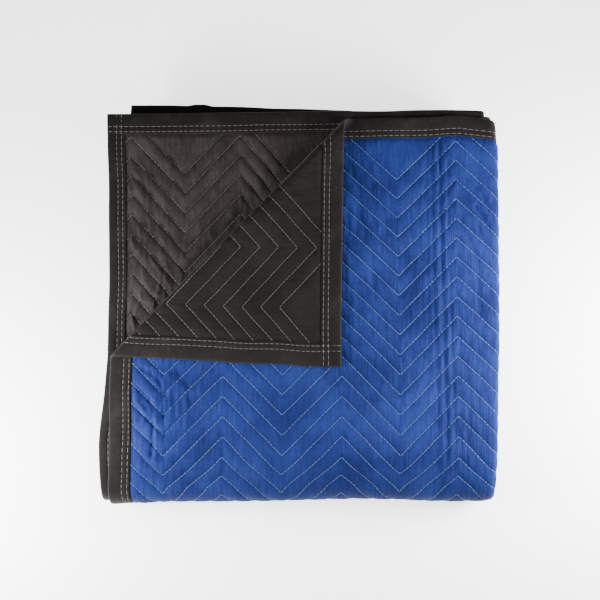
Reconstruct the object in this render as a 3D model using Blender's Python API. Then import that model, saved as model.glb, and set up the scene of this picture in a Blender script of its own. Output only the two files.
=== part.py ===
"""A quilted moving blanket, folded to a sixteenth of its area, with one corner turned back.

Every piece is first made flat, in blanket coordinates: u along the blanket's length,
v across its width and w through its thickness, with the blue face on the +w side.
All pieces then go through the same folds. The length is folded in half twice, which
makes a strip of four layers. The strip is folded in half twice, which makes a stack of
sixteen. The corner of the top layer is turned back over the stack.
"""

import math

import bmesh
import bpy
from mathutils import Vector

# The flat blanket, in metres.
MM = 0.001
WIDTH = 1.829
SEAM_GAP = 0.15 * MM
CLOTH_HALF = 1.8 * MM
EDGE_HALF = 1.1 * MM
GROOVE_HALF = 1.2 * MM
PUFF_HALF = 2.5 * MM
BACK_PUFF_HALF = 2.35 * MM
PRESSED_HALF = 2.2 * MM
PRESSED_RUN = 10.0 * MM

# Quilting: zigzag lines along the length, one line to the inch across the width.
ROW_PITCH = 25.4 * MM
ROW_START = 46.5 * MM
ROW_COUNT = 69
ZIGZAG_REACH = 37.4 * MM
HALF_REPEAT = 75.0 * MM
REGULAR_CORNERS = 17
PUFF_SHOULDER = 0.24

# The turns of the lines near the two ends: (place along the length, shift across the width).
FIRST_CORNERS = (
    (-5.4 * MM, 0.0),
    (69.0 * MM, 0.0),
    (143.0 * MM, 0.0),
    (218.5 * MM, 0.0),
    (294.0 * MM, 0.0),
    (368.0 * MM, 0.0),
    (441.5 * MM, 0.0),
)
LAST_CORNERS = (
    (1.7829, -3.5 * MM),
    (1.8550, -3.5 * MM),
    (1.9228, -3.5 * MM),
    (1.9906, -3.5 * MM),
)

# Binding tape, folded over each edge.
TAPE_WIDTH = 27.5 * MM
TAPE_THICKNESS = 0.8 * MM
TAPE_INNER_HALF = 1.4 * MM
TAPE_END_GAP = 1.0 * MM
PIECE_GAP = 0.3 * MM
SWELL_LENGTH = 5.0 * MM

# Layers of the stack: four to a strip, and four strips.
LAYER_PITCH = 5.0 * MM
INNER_LAYER = 0.5 * LAYER_PITCH
OUTER_LAYER = 1.5 * LAYER_PITCH
STRIP_PITCH = 20.4 * MM
BOTTOM_STRIP = 0.5 * STRIP_PITCH
TOP_STRIP = 3.5 * STRIP_PITCH

# Where the folds along the length lie, measured across the stack from its middle.
LEFT_EDGE = -241.0 * MM
RIGHT_FOLD = 241.0 * MM
INNER_RIGHT_FOLD = 233.0 * MM
LEFT_FOLD = -239.5 * MM
LAST_EDGE = -246.0 * MM

# Where the folds across the width lie, measured forward from the top layer's back edge.
TOP_RUN = 421.0 * MM
DROOP_RADIUS = 60.0 * MM
DROOP_ANGLE = math.radians(30.0)
DROOP_RUN = 24.0 * MM
BACK_FOLD = 34.0 * MM

# The turned-back corner: its fold line, in the same two measures.
FLAP_LINE_START = (58.7 * MM, 2.1 * MM)
FLAP_LINE_END = (-240.1 * MM, 312.6 * MM)
FLAP_RADIUS = 5.0 * MM
FLAP_SETTLE_ANGLE = math.radians(4.2)
FLAP_SETTLE_RUN = 60.0 * MM
FLAP_REACH = 0.30
FLAP_MARGIN = 78.0 * MM

# How far the edges stray from straight: (place along the edge, shift outwards).
FIRST_EDGE_SHIFT = (
    (0.0, 26.0 * MM),
    (110.0 * MM, 17.0 * MM),
    (210.0 * MM, 9.0 * MM),
    (312.0 * MM, 0.0),
    (421.0 * MM, 0.0),
    (476.4 * MM, 3.5 * MM),
    (534.2 * MM, 0.0),
)
LAST_EDGE_SHIFT = (
    (0.0, 0.0),
    (110.0 * MM, -1.0 * MM),
    (210.0 * MM, -2.0 * MM),
    (312.0 * MM, -1.0 * MM),
    (421.0 * MM, 8.0 * MM),
    (476.4 * MM, 9.0 * MM),
    (534.2 * MM, 8.0 * MM),
    (0.961, 0.0),
)
BACK_EDGE_SHIFT = (
    (0.0, -19.0 * MM),
    (299.7 * MM, -2.0 * MM),
    (445.0 * MM, 3.0 * MM),
    (482.0 * MM, -1.0 * MM),
    (505.6 * MM, -4.0 * MM),
    (0.986, 4.0 * MM),
    (1.474, 12.7 * MM),
    (1.953, 7.0 * MM),
)
TAIL_EDGE_SHIFT = (
    (0.0, 29.0 * MM),
    (299.7 * MM, 21.0 * MM),
    (505.6 * MM, 9.0 * MM),
    (0.986, 8.0 * MM),
    (1.474, 6.0 * MM),
    (1.953, 14.0 * MM),
)
SIDE_FADE = 431.0 * MM
BACK_FADE = 312.0 * MM

# The stack as it lies: narrower to the front, lower to the right.
TAPER = 0.011
TAPER_MIDDLE = 0.25
TAIL_DRAW = 0.04
TAIL_SHIFT = 8.0 * MM
SLOPE_START = 190.0 * MM
SLOPE_RUN = 60.0 * MM
SLOPE_DROP = 0.06

CUT_SNAP = 0.3 * MM

COLOURS = {
    "blue": (0.022, 0.083, 0.33, 1.0),
    "black": (0.022, 0.020, 0.019, 1.0),
}


class Path:
    """A plane curve of straight and circular runs, followed from station to station."""

    def __init__(self, start, runs):
        a, b = start
        heading = 0.0
        along = 0.0
        self.stations = [(along, a, b, heading)]
        self.run_starts = []
        for length, turn, steps in runs:
            self.run_starts.append(along)
            step = length / steps
            half_angle = turn / steps / 2
            chord = step * math.sin(half_angle) / half_angle if half_angle else step
            for _ in range(steps):
                a += chord * math.cos(heading + half_angle)
                b += chord * math.sin(heading + half_angle)
                heading += 2 * half_angle
                along += step
                self.stations.append((along, a, b, heading))
        self.length = along

    def at(self, along, offset):
        """The point that lies offset to the left of the path at that arc length."""
        first, second = self.stations[:2]
        for before, after in zip(self.stations, self.stations[1:]):
            if along > before[0]:
                first, second = before, after
        share = (along - first[0]) / (second[0] - first[0])
        ends = []
        for _, a, b, heading in (first, second):
            ends.append(Vector((a - offset * math.sin(heading), b + offset * math.cos(heading))))
        return ends[0].lerp(ends[1], share)

    def cuts(self):
        """The arc lengths of the stations between the ends."""
        return [station[0] for station in self.stations[1:-1]]

    def crossings(self, abscissa):
        """Arc lengths at which the level runs pass this abscissa."""
        found = []
        for first, second in zip(self.stations, self.stations[1:]):
            reach = (abscissa - first[1]) * round(math.cos(first[3]))
            if abs(second[3] - first[3]) < 1e-9 and 0.0 < reach < second[0] - first[0]:
                found.append(first[0] + reach)
        return found


def half_turn(radius, steps, sign):
    """A run that doubles back."""
    return math.pi * radius, sign * math.pi, steps


def length_path():
    """The section of the four layers: across the stack, and through the strip."""
    runs = [
        (RIGHT_FOLD - LEFT_EDGE, 0.0, 1),
        half_turn(OUTER_LAYER, 5, -1),
        (RIGHT_FOLD - LEFT_FOLD, 0.0, 1),
        half_turn(INNER_LAYER, 3, -1),
        (INNER_RIGHT_FOLD - LEFT_FOLD, 0.0, 1),
        half_turn(INNER_LAYER, 3, 1),
        (INNER_RIGHT_FOLD - LAST_EDGE, 0.0, 1),
    ]
    return Path((LEFT_EDGE, OUTER_LAYER), runs)


def width_path():
    """The section of the four strips: forward along the stack, and up from the floor."""
    droop_fall = DROOP_RADIUS * (1 - math.cos(DROOP_ANGLE)) + DROOP_RUN * math.sin(DROOP_ANGLE)
    nose_radius = (3 * STRIP_PITCH - droop_fall) / (1 + math.cos(DROOP_ANGLE))
    nose_middle = TOP_RUN + DROOP_RUN * math.cos(DROOP_ANGLE)
    nose_middle += (DROOP_RADIUS - nose_radius) * math.sin(DROOP_ANGLE)
    fold_radius = STRIP_PITCH / 2
    runs = [
        (TOP_RUN, 0.0, 1),
        (DROOP_RADIUS * DROOP_ANGLE, -DROOP_ANGLE, 2),
        (DROOP_RUN, 0.0, 1),
        (nose_radius * (math.pi - DROOP_ANGLE), DROOP_ANGLE - math.pi, 6),
        (nose_middle - BACK_FOLD, 0.0, 1),
        half_turn(fold_radius, 4, -1),
    ]
    used = sum(run[0] for run in runs) + math.pi * fold_radius
    third_run = (WIDTH - used - BACK_FOLD) / 2
    runs += [
        (third_run, 0.0, 1),
        half_turn(fold_radius, 4, 1),
        (WIDTH - used - third_run, 0.0, 1),
    ]
    return Path((0.0, TOP_STRIP), runs)


def flap_path():
    """The section across the turned-back corner: over, down and level again."""
    back_over = math.pi + FLAP_SETTLE_ANGLE
    runs = [
        (FLAP_RADIUS * back_over, back_over, 6),
        (FLAP_SETTLE_RUN, 0.0, 1),
        (FLAP_RADIUS * FLAP_SETTLE_ANGLE, -FLAP_SETTLE_ANGLE, 1),
        (FLAP_REACH, 0.0, 1),
    ]
    return Path((0.0, 0.0), runs)


LENGTH_PATH = length_path()
WIDTH_PATH = width_path()
FLAP_PATH = flap_path()
LENGTH = LENGTH_PATH.length
EDGE_INSET = TAPE_THICKNESS + TAPE_END_GAP
TAIL_START = WIDTH_PATH.run_starts[-1]
UNDERSIDE = BOTTOM_STRIP - OUTER_LAYER - PRESSED_HALF
FLAP_ALONG = (Vector(FLAP_LINE_END) - Vector(FLAP_LINE_START)).normalized()
FLAP_ACROSS = Vector((-FLAP_ALONG.y, FLAP_ALONG.x))
FLAP_BEGIN = -(FLAP_RADIUS + PUFF_HALF)


def table_value(table, place):
    """Reads a table of (place, value) rows, with straight lines between them."""
    before = table[0]
    for row in table:
        if place <= row[0]:
            span = row[0] - before[0]
            share = (place - before[0]) / span if span else 0.0
            return before[1] + share * (row[1] - before[1])
        before = row
    return before[1]


def fade(distance, reach):
    """One at the edge, falling to nothing at this reach from it."""
    return max(0.0, 1.0 - distance / reach)


def strayed(u, v):
    """Blanket coordinates with the edges' wander added."""
    du = table_value(LAST_EDGE_SHIFT, v) * fade(LENGTH - u, SIDE_FADE)
    du -= table_value(FIRST_EDGE_SHIFT, v) * fade(u, SIDE_FADE)
    dv = table_value(TAIL_EDGE_SHIFT, u) * fade(WIDTH - v, WIDTH - TAIL_START)
    dv -= table_value(BACK_EDGE_SHIFT, u) * fade(v, BACK_FADE)
    return u + du, v + dv


def tail_share(v):
    """Nothing up to the last strip, and one at that strip's free edge."""
    return max(0.0, (v - TAIL_START) / (WIDTH - TAIL_START))


def turned_back(x, p, z, level):
    """Turns the part of the top layer that lies beyond the flap's fold line."""
    place = Vector((x, p)) - Vector(FLAP_LINE_START)
    beyond = place.dot(FLAP_ACROSS) - FLAP_BEGIN
    if beyond <= 0.0:
        return x, p, z
    across, up = FLAP_PATH.at(beyond, z - level)
    spot = Vector(FLAP_LINE_START) + FLAP_ALONG * place.dot(FLAP_ALONG)
    spot += FLAP_ACROSS * (FLAP_BEGIN + across)
    return spot.x, spot.y, level + up


def folded(u, v, w, flat_u):
    """Takes a point of the flat blanket to its place in the folded stack."""
    x, q = LENGTH_PATH.at(u, w)
    share = tail_share(v)
    x += share * (TAIL_SHIFT - TAIL_DRAW * x)
    p, z = WIDTH_PATH.at(v, q)
    if flat_u < RIGHT_FOLD - LEFT_EDGE and v < TOP_RUN:
        x, p, z = turned_back(x, p, z, TOP_STRIP + OUTER_LAYER)
    plain_x, _ = LENGTH_PATH.at(flat_u, w)
    z -= UNDERSIDE
    z *= 1.0 - SLOPE_DROP * min(1.0, max(0.0, plain_x - SLOPE_START) / SLOPE_RUN)
    x *= 1.0 + TAPER * (TAPER_MIDDLE - p) / TAPER_MIDDLE
    return Vector((x, -p, z))


def zigzag_corners():
    """The turns of a quilting line: (place along the length, height from the line's middle)."""
    turns = list(FIRST_CORNERS)
    for i in range(REGULAR_CORNERS):
        turns.append((FIRST_CORNERS[-1][0] + HALF_REPEAT * (i + 1), 0.0))
    turns += LAST_CORNERS
    corners = []
    for i, (place, shift) in enumerate(turns):
        corners.append((place, shift + (ZIGZAG_REACH if i % 2 else -ZIGZAG_REACH)))
    return corners


CORNERS = zigzag_corners()


def zigzag(u):
    """How far a quilting line lies towards +v from its middle at this place."""
    return table_value(CORNERS, u)


def quilted_half(u, v, crest):
    """The height of a quilted face above the blanket's middle."""
    place = (v - ROW_START - zigzag(u)) / ROW_PITCH
    nearest = min(max(round(place), 0), ROW_COUNT - 1)
    rise = min(1.0, abs(place - nearest) / PUFF_SHOULDER)
    return GROOVE_HALF + (crest - GROOVE_HALF) * rise


def cut(bm, point, normal, faces=None):
    """Cuts the flat mesh, or some of its faces, along a plane."""
    chosen = list(bm.faces) if faces is None else faces
    edges = list(dict.fromkeys(edge for face in chosen for edge in face.edges))
    verts = list(dict.fromkeys(vert for edge in edges for vert in edge.verts))
    geometry = chosen + edges + verts
    bmesh.ops.bisect_plane(bm, geom=geometry, dist=CUT_SNAP, plane_co=point, plane_no=normal)


def cut_at_folds(bm):
    """Cuts a flat mesh wherever a fold, a bend in an edge or a slope starts or ends."""
    columns = LENGTH_PATH.cuts() + LENGTH_PATH.crossings(SLOPE_START)
    columns += [row[0] for row in BACK_EDGE_SHIFT[1:3]]
    rows = WIDTH_PATH.cuts() + [row[0] for row in FIRST_EDGE_SHIFT[1:4]]
    low, high = bounds([bm])
    for u in columns:
        if low.x + CUT_SNAP < u < high.x - CUT_SNAP:
            cut(bm, (u, 0, 0), (1, 0, 0))
    for v in rows:
        if low.y + CUT_SNAP < v < high.y - CUT_SNAP:
            cut(bm, (0, v, 0), (0, 1, 0))


def bounds(meshes):
    """The lowest and highest corner of some meshes."""
    points = [vert.co for bm in meshes for vert in bm.verts]
    low = Vector([min(point[i] for point in points) for i in range(3)])
    high = Vector([max(point[i] for point in points) for i in range(3)])
    return low, high


def outer_faces(bm, side, u_span, v_span):
    """The faces of the cloth's outer surface inside a rectangle of the blanket."""
    found = []
    for face in bm.faces:
        middle = face.calc_center_median()
        inside = u_span[0] < middle.x < u_span[1] and v_span[0] < middle.y < v_span[1]
        if inside and face.normal.z * side > 0.5:
            found.append(face)
    return found


def quilt(bm, side, u_span, v_span, limit):
    """Cuts quilting lines into a rectangle, only as far as limit(u) says."""
    for turn, next_turn in zip(CORNERS, CORNERS[1:]):
        start = max(turn[0], u_span[0])
        end = min(next_turn[0], u_span[1])
        if end - start < CUT_SNAP:
            continue
        for u in (start, end):
            cut(bm, (u, 0, 0), (1, 0, 0), outer_faces(bm, side, u_span, v_span))
        slope = (zigzag(end) - zigzag(start)) / (end - start)
        spread = abs(zigzag(end) - zigzag(start))
        faces = outer_faces(bm, side, (start, end), v_span)
        reach = min(v_span[1], limit((start + end) / 2))
        for row in range(ROW_COUNT):
            for phase in (-PUFF_SHOULDER, 0.0, PUFF_SHOULDER):
                v = ROW_START + (row + phase) * ROW_PITCH + zigzag(start)
                if v_span[0] - spread < v < reach + spread:
                    cut(bm, (start, v, 0), (-slope, 1, 0), faces)
                    faces = outer_faces(bm, side, (start, end), v_span)


def flat_cloth(side):
    """A flat cloth: the blue face above the blanket's middle, or the black back below it."""
    bm = bmesh.new()
    bmesh.ops.create_cube(bm, size=1.0)
    size = Vector((LENGTH - 2 * EDGE_INSET, WIDTH - 2 * EDGE_INSET, CLOTH_HALF - SEAM_GAP))
    bmesh.ops.scale(bm, vec=size, verts=bm.verts)
    middle = Vector((LENGTH / 2, WIDTH / 2, side * (CLOTH_HALF + SEAM_GAP) / 2))
    bmesh.ops.translate(bm, vec=middle, verts=bm.verts)
    cut_at_folds(bm)
    for inset in (TAPE_WIDTH + PIECE_GAP, TAPE_WIDTH + SWELL_LENGTH):
        for u in (inset, LENGTH - inset):
            cut(bm, (u, 0, 0), (1, 0, 0))
        for v in (inset, WIDTH - inset):
            cut(bm, (0, v, 0), (0, 1, 0))
    return bm


def edge_share(u, v):
    """Nothing under the binding, rising to one where the cloth is free of it."""
    inset = min(u, LENGTH - u, v, WIDTH - v) - TAPE_WIDTH - PIECE_GAP
    return min(1.0, max(0.0, inset / (SWELL_LENGTH - PIECE_GAP)))


def shape_outside(bm, side, regions):
    """Gives the outer surface its height: thin at the binding, quilted in the regions."""
    for vert in bm.verts:
        u, v, w = vert.co
        if abs(w) < (CLOTH_HALF + SEAM_GAP) / 2:
            continue
        half = CLOTH_HALF
        for u_span, v_span, crest in regions:
            inside_u = u_span[0] - CUT_SNAP < u < u_span[1] - CUT_SNAP
            if inside_u and v_span[0] - CUT_SNAP < v < v_span[1] - CUT_SNAP:
                half = quilted_half(u, v, crest)
        vert.co.z = side * (EDGE_HALF + (half - EDGE_HALF) * edge_share(u, v))


def face_cloth():
    """The blue face, quilted where it shows: the top, the nose, the right side and the base."""
    bm = flat_cloth(1)
    inner = TAPE_WIDTH + PIECE_GAP
    u_span = (inner, LENGTH_PATH.run_starts[2])
    nose_end = WIDTH_PATH.run_starts[4] - PRESSED_RUN
    base_end = WIDTH_PATH.run_starts[5]
    quilt(bm, 1, u_span, (inner, base_end), lambda u: WIDTH)
    regions = (
        (u_span, (inner, nose_end), PUFF_HALF),
        (u_span, (nose_end, base_end), PRESSED_HALF),
    )
    shape_outside(bm, 1, regions)
    return bm


def back_cloth():
    """The black back, quilted where the turned-back corner lets it show."""
    bm = flat_cloth(-1)
    inner = TAPE_WIDTH + PIECE_GAP
    shown = FLAP_LINE_END[1] + 2 * ZIGZAG_REACH
    flap_u = (inner, shown)
    beneath_u = (LENGTH - shown, LENGTH - inner)
    v_span = (inner, shown)
    quilt(bm, -1, flap_u, v_span, lambda u: shown - u)
    quilt(bm, -1, beneath_u, v_span, lambda u: shown - (LENGTH - u))
    regions = ((flap_u, v_span, BACK_PUFF_HALF), (beneath_u, v_span, BACK_PUFF_HALF))
    shape_outside(bm, -1, regions)
    return bm


def tape(start, end, along_length, far_side):
    """A tape folded over one edge: a channel section, extruded along that edge."""
    outer = TAPE_INNER_HALF + TAPE_THICKNESS
    section = (
        (0.0, outer),
        (TAPE_WIDTH, outer),
        (TAPE_WIDTH, TAPE_INNER_HALF),
        (TAPE_THICKNESS, TAPE_INNER_HALF),
        (TAPE_THICKNESS, -TAPE_INNER_HALF),
        (TAPE_WIDTH, -TAPE_INNER_HALF),
        (TAPE_WIDTH, -outer),
        (0.0, -outer),
    )
    bm = bmesh.new()
    corners = []
    for inwards, w in section:
        if along_length:
            corners.append(bm.verts.new((start, WIDTH - inwards if far_side else inwards, w)))
        else:
            corners.append(bm.verts.new((LENGTH - inwards if far_side else inwards, start, w)))
    end_face = bm.faces.new(corners)
    grown = bmesh.ops.extrude_face_region(bm, geom=[end_face])["geom"]
    moved = [item for item in grown if isinstance(item, bmesh.types.BMVert)]
    reach = Vector((end - start, 0, 0)) if along_length else Vector((0, end - start, 0))
    bmesh.ops.translate(bm, vec=reach, verts=moved)
    bmesh.ops.recalc_face_normals(bm, faces=bm.faces)
    cut_at_folds(bm)
    return bm


def cut_at_flap(bm):
    """Cuts the top layer's corner along the lines where the flap bends."""
    normal = Vector((FLAP_ACROSS.x, FLAP_ACROSS.y, 0))
    corner_u = FLAP_LINE_START[0] - LEFT_EDGE + FLAP_MARGIN
    corner_v = FLAP_LINE_END[1] + FLAP_MARGIN
    origin = Vector((FLAP_LINE_START[0] - LEFT_EDGE, FLAP_LINE_START[1], 0))
    for beyond in [0.0] + FLAP_PATH.cuts():
        near = []
        for face in bm.faces:
            low_u = min(vert.co.x for vert in face.verts)
            low_v = min(vert.co.y for vert in face.verts)
            if low_u < corner_u and low_v < corner_v:
                near.append(face)
        if near:
            cut(bm, origin + normal * (FLAP_BEGIN + beyond), normal, near)


def fold(bm):
    """Takes a flat piece through the edges' wander and all the folds."""
    flat_lengths = {vert: vert.co.x for vert in bm.verts}
    for vert in bm.verts:
        vert.co.x, vert.co.y = strayed(vert.co.x, vert.co.y)
    strayed_lengths = {vert: vert.co.x for vert in bm.verts}
    cut_at_flap(bm)
    bmesh.ops.triangulate(bm, faces=bm.faces)
    for vert in bm.verts:
        shift = strayed_lengths.get(vert, vert.co.x) - flat_lengths.get(vert, vert.co.x)
        vert.co = folded(vert.co.x, vert.co.y, vert.co.z, vert.co.x - shift)
    bmesh.ops.reverse_faces(bm, faces=bm.faces)


def material(name):
    """A plain cloth material in one of the two colours."""
    made = bpy.data.materials.new(name + "_cloth")
    made.use_nodes = True
    shader = made.node_tree.nodes["Principled BSDF"]
    shader.inputs["Base Color"].default_value = COLOURS[name]
    shader.inputs["Roughness"].default_value = 0.75
    shader.inputs["Metallic"].default_value = 0.0
    return made


def add_object(name, bm, colour, collection, parent):
    """Turns a finished mesh into an object of the blanket."""
    mesh = bpy.data.meshes.new(name)
    bm.to_mesh(mesh)
    bm.free()
    mesh.materials.append(colour)
    made = bpy.data.objects.new(name, mesh)
    collection.objects.link(made)
    made.parent = parent


def build():
    """Makes the blanket's two cloths and four tapes, folded and centred on the floor."""
    for old in list(bpy.data.objects):
        bpy.data.objects.remove(old)
    collection = bpy.data.collections.new("moving_blanket")
    bpy.context.scene.collection.children.link(collection)
    side_start = TAPE_WIDTH + PIECE_GAP
    side_end = WIDTH - side_start
    pieces = {
        "face_cloth": face_cloth(),
        "back_cloth": back_cloth(),
        "binding_first_end": tape(side_start, side_end, False, False),
        "binding_last_end": tape(side_start, side_end, False, True),
        "binding_back_edge": tape(0.0, LENGTH, True, False),
        "binding_tail_edge": tape(0.0, LENGTH, True, True),
    }
    for bm in pieces.values():
        fold(bm)
    low, high = bounds(pieces.values())
    root = bpy.data.objects.new("blanket_root", None)
    collection.objects.link(root)
    root.location = (-(low.x + high.x) / 2, -(low.y + high.y) / 2, -low.z)
    colours = {name: material(name) for name in COLOURS}
    for name, bm in pieces.items():
        colour = colours["blue" if name == "face_cloth" else "black"]
        add_object(name, bm, colour, collection, root)


build()
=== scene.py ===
"""Dresses the folded moving blanket: quilted cloths, bound edges, stitching, floor, light and camera.

Every piece is made flat, in blanket coordinates: u along the blanket's length, v across
its width and w through its thickness, blue face up. Then it goes through the same folds
as the solids, at a finer grain and with the creases that a folded blanket shows.
"""

import math

import bmesh
import bpy
import numpy as np
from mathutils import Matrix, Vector


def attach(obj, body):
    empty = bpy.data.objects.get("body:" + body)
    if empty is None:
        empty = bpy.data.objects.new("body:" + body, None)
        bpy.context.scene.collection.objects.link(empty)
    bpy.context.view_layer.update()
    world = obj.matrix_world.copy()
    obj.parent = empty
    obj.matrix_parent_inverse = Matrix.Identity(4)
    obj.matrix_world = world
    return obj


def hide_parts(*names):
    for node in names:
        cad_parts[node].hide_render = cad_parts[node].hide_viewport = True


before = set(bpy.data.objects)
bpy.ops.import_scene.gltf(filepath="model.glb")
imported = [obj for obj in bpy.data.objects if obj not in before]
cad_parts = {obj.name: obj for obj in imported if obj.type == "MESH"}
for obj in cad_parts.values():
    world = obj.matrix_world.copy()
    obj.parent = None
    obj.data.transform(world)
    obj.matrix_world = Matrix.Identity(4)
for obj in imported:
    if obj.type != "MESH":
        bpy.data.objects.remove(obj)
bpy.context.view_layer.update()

# The flat blanket, in metres, as in the solids.
MM = 0.001
WIDTH = 1.829
EDGE_HALF = 1.1 * MM
GROOVE_HALF = 1.0 * MM
SHALLOW = 0.4
BARED_RISE = 1.1 * MM
TOP_CREST = 2.9 * MM
FOLD_CREST = 2.5 * MM
HIDDEN_CREST = 1.9 * MM
PRESSED_HALF = 2.2 * MM
EDGE_INSET = 1.8 * MM

# Quilting.
ROW_PITCH = 25.4 * MM
ROW_START = 46.5 * MM
ROW_COUNT = 69
ZIGZAG_REACH = 37.4 * MM
HALF_REPEAT = 75.0 * MM
REGULAR_CORNERS = 17

# The turns of the lines near the two ends: (place along the length, shift across), in mm.
FIRST_CORNERS = ((-5.4, 0), (69, 0), (143, 0), (218.5, 0), (294, 0), (368, 0), (441.5, 0))
LAST_CORNERS = ((1782.9, -3.5), (1855.0, -3.5), (1922.8, -3.5), (1990.6, -3.5))

# The rows are drawn together where the top layer bends down at the front.
DRAW_START = 405.0 * MM
DRAW_RUN = 95.0 * MM
DRAW_END = 640.0 * MM
DRAW_REACH = 8.0 * MM

# Binding tape.
TAPE_WIDTH = 27.5 * MM
TAPE_THICKNESS = 0.8 * MM
TAPE_OUTER_HALF = 2.2 * MM
TAPE_STITCH_ROWS = (17.6 * MM, 24.4 * MM)
LAST_TAPE_WIDTH = 22.8 * MM
LAST_TAPE_ROWS = (12.2 * MM, 18.0 * MM)
TAPE_SLACK = TAPE_WIDTH - LAST_TAPE_WIDTH

# Layers and folds of the stack.
LAYER_PITCH = 5.0 * MM
STRIP_PITCH = 20.4 * MM
LEFT_EDGE = -241.0 * MM
RIGHT_FOLD = 241.0 * MM
INNER_RIGHT_FOLD = 233.0 * MM
LEFT_FOLD = -239.5 * MM
LAST_EDGE = -246.0 * MM
TOP_RUN = 421.0 * MM
DROOP_RADIUS = 60.0 * MM
DROOP_ANGLE = math.radians(30.0)
DROOP_RUN = 24.0 * MM
BACK_FOLD = 34.0 * MM

# The turned-back corner. Its fold is tight at the left edge and loose at the back edge.
FLAP_LINE_START = np.array((58.7, 2.1)) * MM
FLAP_LINE_END = np.array((-240.1, 312.6)) * MM
FLAP_LOOSE_RADIUS = 7.2 * MM
FLAP_TIGHT_RADIUS = 3.4 * MM
FLAP_REST_HEIGHT = 5.7 * MM
FLAP_SETTLE_RUN = 60.0 * MM

# How far the edges stray from straight: (place along the edge, shift outwards), in millimetres.
FIRST_EDGE_SHIFT = ((0, 26), (110, 17), (210, 9), (312, 0), (421, 0), (476.4, 3.5), (534.2, 0))
LAST_EDGE_SHIFT = (
    (0, 4), (110, 1), (210, -1), (312, -1), (421, 8), (476.4, 9), (534.2, 8), (961, 0),
)
BACK_EDGE_SHIFT = (
    (0, -22), (299.7, -2), (445, 3), (482, -1), (505.6, -4), (986, 4), (1474, 12.7), (1953, 7),
)
TAIL_EDGE_SHIFT = (
    (0, 29), (78, 28), (88, 30), (102, 30), (112, 27.5), (210, 25), (299.7, 21.5),
    (505.6, 9), (986, 8), (1474, 6), (1953, 14),
)
SIDE_FADE = 431.0 * MM
BACK_FADE = 312.0 * MM

# How far the rounded front stands out: (place across the stack, shift forward), in millimetres.
FRONT_SHIFT = (
    (-241, 5.5), (-215, 4.5), (-180, 2.5), (-100, 1.9), (-25, 0.6), (50, -1.3), (80, -2),
    (125, -0.6), (160, 1.3), (200, 1.8), (241, 0.8),
)
FRONT_DEPTH = 78.0 * MM

# How far the folds on the right bulge: (place from the back, shift to the right), in millimetres.
RIGHT_BULGE = ((0, 2), (40, 6), (120, 6.3), (220, 5), (300, 4.5), (400, 1), (450, 0))
BULGE_START = 203.0 * MM
BULGE_RUN = 36.0 * MM

# The stack as it lies, and where its middle is in the sections' measures.
TAPER = 0.011
TAPER_MIDDLE = 0.25
TAIL_DRAW = 0.04
TAIL_SHIFT = 8.0 * MM
SLOPE_START = 190.0 * MM
SLOPE_RUN = 60.0 * MM
SLOPE_DROP = 0.06
STACK_OFFSET = np.array((-0.222, 231.663)) * MM

# Mesh grain: a base cell is one quilting row by this length, cut by a divisor of the finest.
BASE_LENGTH = 25.0 * MM
FINEST = 12
ROW_PHASES = (0, 0.035, 0.08, 0.15, 0.25, 0.375, 0.5, 0.625, 0.75, 0.85, 0.92, 0.965, 1)

# The camera, as fitted to the quilting's rows in the photograph.
CAMERA_DISTANCE = 1.665
CAMERA_TILT = math.radians(10.0)
CAMERA_LENS = 78.46
SENSOR_WIDTH = 36.0
AIM_DEPTH = 242.0 * MM


def path(start, runs):
    """A plane curve: start, heading, length and turn of each run, and its whole length."""
    a, b = start
    heading = along = 0.0
    made = []
    for length, turn in runs:
        made.append((along, length, turn, a, b, heading))
        if turn:
            radius = length / turn
            a += radius * (math.sin(heading + turn) - math.sin(heading))
            b -= radius * (math.cos(heading + turn) - math.cos(heading))
        else:
            a += length * math.cos(heading)
            b += length * math.sin(heading)
        heading += turn
        along += length
    return made, along


def follow(runs, along, offset):
    """The points that lie offset to the left of a path at these arc lengths."""
    a = np.zeros_like(along)
    b = np.zeros_like(along)
    for i, (begin, length, turn, start_a, start_b, heading) in enumerate(runs):
        inside = along >= begin if i else np.ones(along.shape, bool)
        if i + 1 < len(runs):
            inside &= along < runs[i + 1][0]
        reach = along[inside] - begin
        angle = heading + turn * reach / length
        if turn:
            radius = length / turn
            run_a = start_a + radius * (np.sin(angle) - math.sin(heading))
            run_b = start_b - radius * (np.cos(angle) - math.cos(heading))
        else:
            run_a = start_a + reach * math.cos(heading)
            run_b = start_b + reach * math.sin(heading)
        a[inside] = run_a - offset[inside] * np.sin(angle)
        b[inside] = run_b + offset[inside] * np.cos(angle)
    return a, b


def length_path():
    """The section of the four layers: across the stack, and through the strip."""
    outer = 1.5 * LAYER_PITCH
    inner = 0.5 * LAYER_PITCH
    runs = (
        (RIGHT_FOLD - LEFT_EDGE, 0),
        (math.pi * outer, -math.pi),
        (RIGHT_FOLD - LEFT_FOLD, 0),
        (math.pi * inner, -math.pi),
        (INNER_RIGHT_FOLD - LEFT_FOLD, 0),
        (math.pi * inner, math.pi),
        (INNER_RIGHT_FOLD - LAST_EDGE, 0),
    )
    return path((LEFT_EDGE, outer), runs)


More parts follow.
